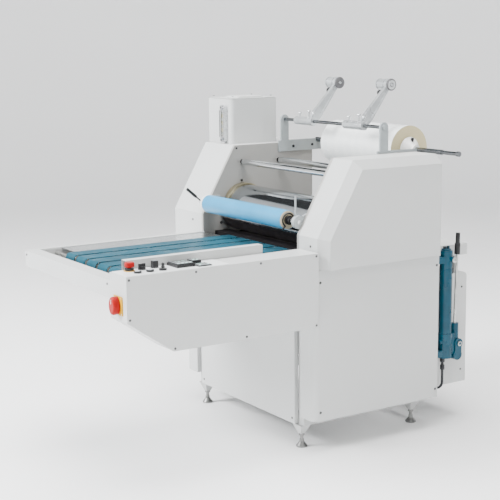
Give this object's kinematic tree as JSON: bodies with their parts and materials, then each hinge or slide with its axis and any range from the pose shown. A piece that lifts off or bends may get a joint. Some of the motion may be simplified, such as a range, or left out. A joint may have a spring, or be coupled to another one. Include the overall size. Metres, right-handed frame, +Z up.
{
  "type": "roll laminator",
  "caption": "Floor-standing hot roll film laminator with belt feed table, heated roller, film rolls, trim arms, control box and hydraulic hand pump.",
  "frame": {"origin": "bottom centre of the bounding box, on the floor", "axes": "+X to the right seen from the feed side, +Y from the feed table to the rear, +Z up"},
  "size_m": [1.39, 1.878, 1.603],
  "materials": {
    "frame_paint": "satin",
    "zinc": "zinc plated",
    "cover_paint": "fine texture powder coat",
    "plate_paint": "satin paint",
    "polished_steel": "polished",
    "chrome": "mirror plated",
    "black_metal": "black oxide",
    "motor_paint": "painted casting",
    "roller_rubber": "ground rubber",
    "blue_film": "wound film",
    "clear_film": "wound film",
    "arm_paint": "cast, satin",
    "wheel_steel": "turned",
    "belt_teal": "woven top",
    "panel_white": "printed plate",
    "instrument_black": "moulded",
    "red_plastic": "moulded",
    "green_plastic": "moulded",
    "black_plastic": "moulded",
    "yellow_plastic": "moulded",
    "pump_paint": "gloss enamel",
    "grip_rubber": "ribbed",
    "pipe_black": "phosphated steel"
  },
  "bodies": {
    "machine": {"base_frame": "frame_paint", "levelling_feet": "zinc", "front_panel": "cover_paint", "right_lower_cover": "cover_paint", "left_lower_cover": "cover_paint", "right_upper_housing": "cover_paint", "left_upper_housing": "cover_paint", "right_side_plate": "plate_paint", "left_side_plate": "plate_paint", "rear_casing": "cover_paint", "rear_tray": "cover_paint", "oil_box": "cover_paint", "oil_box_lid": "cover_paint", "level_gauge": "zinc", "roller_bearings": "zinc", "gear_motor": "motor_paint", "lift_jacks": "zinc", "nip_guard": "black_metal", "film_brackets": "zinc", "roll_brackets": "polished_steel", "wall_bolts": "black_metal", "table_frame": "cover_paint", "table_bed": "frame_paint", "table_plates": "polished_steel", "feed_belts": "belt_teal", "control_box": "cover_paint", "panel_plate": "panel_white", "cover_screws": "zinc", "panel_instruments": "instrument_black", "main_switch_plate": "yellow_plastic", "hand_pump": "pump_paint", "pump_pipe": "pipe_black"},
    "heated_roller": {"heated_roller": "chrome"},
    "lift_carriage": {"lift_carriage": "frame_paint"},
    "pressure_roller": {"pressure_roller": "roller_rubber"},
    "front_belt_roller": {"front_belt_roller": "zinc"},
    "rear_belt_roller": {"rear_belt_roller": "zinc"},
    "front_idle_roller": {"front_idle_roller": "polished_steel"},
    "rear_idle_roller": {"rear_idle_roller": "polished_steel"},
    "blue_film": {"blue_film_roll": "blue_film", "blue_film_shaft": "black_metal"},
    "film_clamp_lever": {"film_clamp_lever": "black_plastic"},
    "supply_roll": {"supply_film_roll": "clear_film", "supply_shaft": "polished_steel"},
    "left_trim_arm": {"left_trim_arm": "arm_paint"},
    "right_trim_arm": {"right_trim_arm": "arm_paint"},
    "left_trim_wheel": {"left_trim_wheel": "wheel_steel"},
    "right_trim_wheel": {"right_trim_wheel": "wheel_steel"},
    "side_guide": {"side_guide": "cover_paint"},
    "estop_button": {"estop_button": "red_plastic"},
    "pushbutton_1": {"pushbutton_1": "green_plastic"},
    "pushbutton_2": {"pushbutton_2": "red_plastic"},
    "selector_knob": {"selector_knob": "black_plastic"},
    "block_switch": {"block_switch": "black_plastic"},
    "joystick": {"joystick": "black_plastic"},
    "main_switch_handle": {"main_switch_handle": "red_plastic"},
    "pump_lever": {"pump_lever": "pump_paint", "pump_grip": "grip_rubber"},
    "pump_plunger": {"pump_plunger": "zinc"},
    "release_valve": {"release_valve": "zinc"}
  },
  "joints": [
    {"name": "heated_roller_spin", "type": "hinge", "parent": "machine", "child": "heated_roller", "pos_m": [0, 0.246, 0.977], "axis": [1, 0, 0], "continuous": true},
    {"name": "pressure_lift", "type": "slide", "parent": "machine", "child": "lift_carriage", "axis": [0, 0, 1], "range_m": [-0.008, 0]},
    {"name": "pressure_roller_spin", "type": "hinge", "parent": "lift_carriage", "child": "pressure_roller", "pos_m": [0, 0.246, 0.7936], "axis": [1, 0, 0], "continuous": true},
    {"name": "front_belt_roller_spin", "type": "hinge", "parent": "machine", "child": "front_belt_roller", "pos_m": [0, -0.767, 0.8472], "axis": [1, 0, 0], "continuous": true},
    {"name": "rear_belt_roller_spin", "type": "hinge", "parent": "machine", "child": "rear_belt_roller", "pos_m": [0, 0.056, 0.8472], "axis": [1, 0, 0], "continuous": true},
    {"name": "front_idle_spin", "type": "hinge", "parent": "machine", "child": "front_idle_roller", "pos_m": [0, 0.244, 1.195], "axis": [1, 0, 0], "continuous": true},
    {"name": "rear_idle_spin", "type": "hinge", "parent": "machine", "child": "rear_idle_roller", "pos_m": [0, 0.46, 1.191], "axis": [1, 0, 0], "continuous": true},
    {"name": "blue_film_spin", "type": "hinge", "parent": "machine", "child": "blue_film", "pos_m": [0, 0.03, 1.006], "axis": [1, 0, 0], "continuous": true},
    {"name": "film_clamp_turn", "type": "hinge", "parent": "machine", "child": "film_clamp_lever", "pos_m": [-0.404, 0.03, 1.006], "axis": [1, 0, 0], "range_deg": [-50, 0]},
    {"name": "supply_roll_spin", "type": "hinge", "parent": "machine", "child": "supply_roll", "pos_m": [0, 0.696, 1.281], "axis": [1, 0, 0], "continuous": true},
    {"name": "left_arm_swing", "type": "hinge", "parent": "machine", "child": "left_trim_arm", "pos_m": [-0.133, 0.494, 1.393], "axis": [1, 0, 0], "range_deg": [-40, 40]},
    {"name": "right_arm_swing", "type": "hinge", "parent": "machine", "child": "right_trim_arm", "pos_m": [0.263, 0.494, 1.393], "axis": [1, 0, 0], "range_deg": [-40, 40]},
    {"name": "left_wheel_spin", "type": "hinge", "parent": "left_trim_arm", "child": "left_trim_wheel", "pos_m": [0, 0.646, 1.575], "axis": [1, 0, 0], "continuous": true},
    {"name": "right_wheel_spin", "type": "hinge", "parent": "right_trim_arm", "child": "right_trim_wheel", "pos_m": [0, 0.646, 1.575], "axis": [1, 0, 0], "continuous": true},
    {"name": "side_guide_slide", "type": "slide", "parent": "machine", "child": "side_guide", "axis": [-1, 0, 0], "range_m": [0, 0.3]},
    {"name": "estop_press", "type": "slide", "parent": "machine", "child": "estop_button", "axis": [0, 0, -1], "range_m": [0, 0.004], "stiffness_N_per_m": 3000, "springref_m": -0.002},
    {"name": "pushbutton_1_press", "type": "slide", "parent": "machine", "child": "pushbutton_1", "axis": [0, 0, -1], "range_m": [0, 0.003], "stiffness_N_per_m": 800, "springref_m": -0.001},
    {"name": "pushbutton_2_press", "type": "slide", "parent": "machine", "child": "pushbutton_2", "axis": [0, 0, -1], "range_m": [0, 0.003], "stiffness_N_per_m": 800, "springref_m": -0.001},
    {"name": "selector_turn", "type": "hinge", "parent": "machine", "child": "selector_knob", "pos_m": [0.504, -0.783, 0.91], "axis": [0, 0, 1], "range_deg": [-45, 45]},
    {"name": "block_switch_turn", "type": "hinge", "parent": "machine", "child": "block_switch", "pos_m": [0.498, -0.723, 0.91], "axis": [0, 0, 1], "range_deg": [0, 90]},
    {"name": "joystick_tilt", "type": "hinge", "parent": "machine", "child": "joystick", "pos_m": [0.563, -0.721, 0.916], "axis": [1, 0, 0], "range_deg": [-20, 20], "stiffness_Nm_per_rad": 0.5},
    {"name": "main_switch_turn", "type": "hinge", "parent": "machine", "child": "main_switch_handle", "pos_m": [0.539, -0.907, 0.78], "axis": [0, 1, 0], "range_deg": [0, 90]},
    {"name": "pump_lever_stroke", "type": "hinge", "parent": "machine", "child": "pump_lever", "pos_m": [0.548, 0.822, 0.385], "axis": [1, 0, 0], "range_deg": [-60, 0]},
    {"name": "pump_plunger_stroke", "type": "slide", "parent": "machine", "child": "pump_plunger", "axis": [0, 0, 1], "range_m": [0, 0.0101]},
    {"name": "release_valve_turn", "type": "hinge", "parent": "machine", "child": "release_valve", "pos_m": [0.548, 0.7965, 0.6], "axis": [0, 0, 1], "range_deg": [0, 180]}
  ],
  "couplings": [
    {"joint": "pressure_roller_spin", "follows": "heated_roller_spin", "ratio": -1.44},
    {"joint": "front_belt_roller_spin", "follows": "heated_roller_spin", "ratio": -5.684},
    {"joint": "rear_belt_roller_spin", "follows": "heated_roller_spin", "ratio": -5.684},
    {"joint": "pump_plunger_stroke", "follows": "pump_lever_stroke", "m_per_rad": -0.0095}
  ]
}
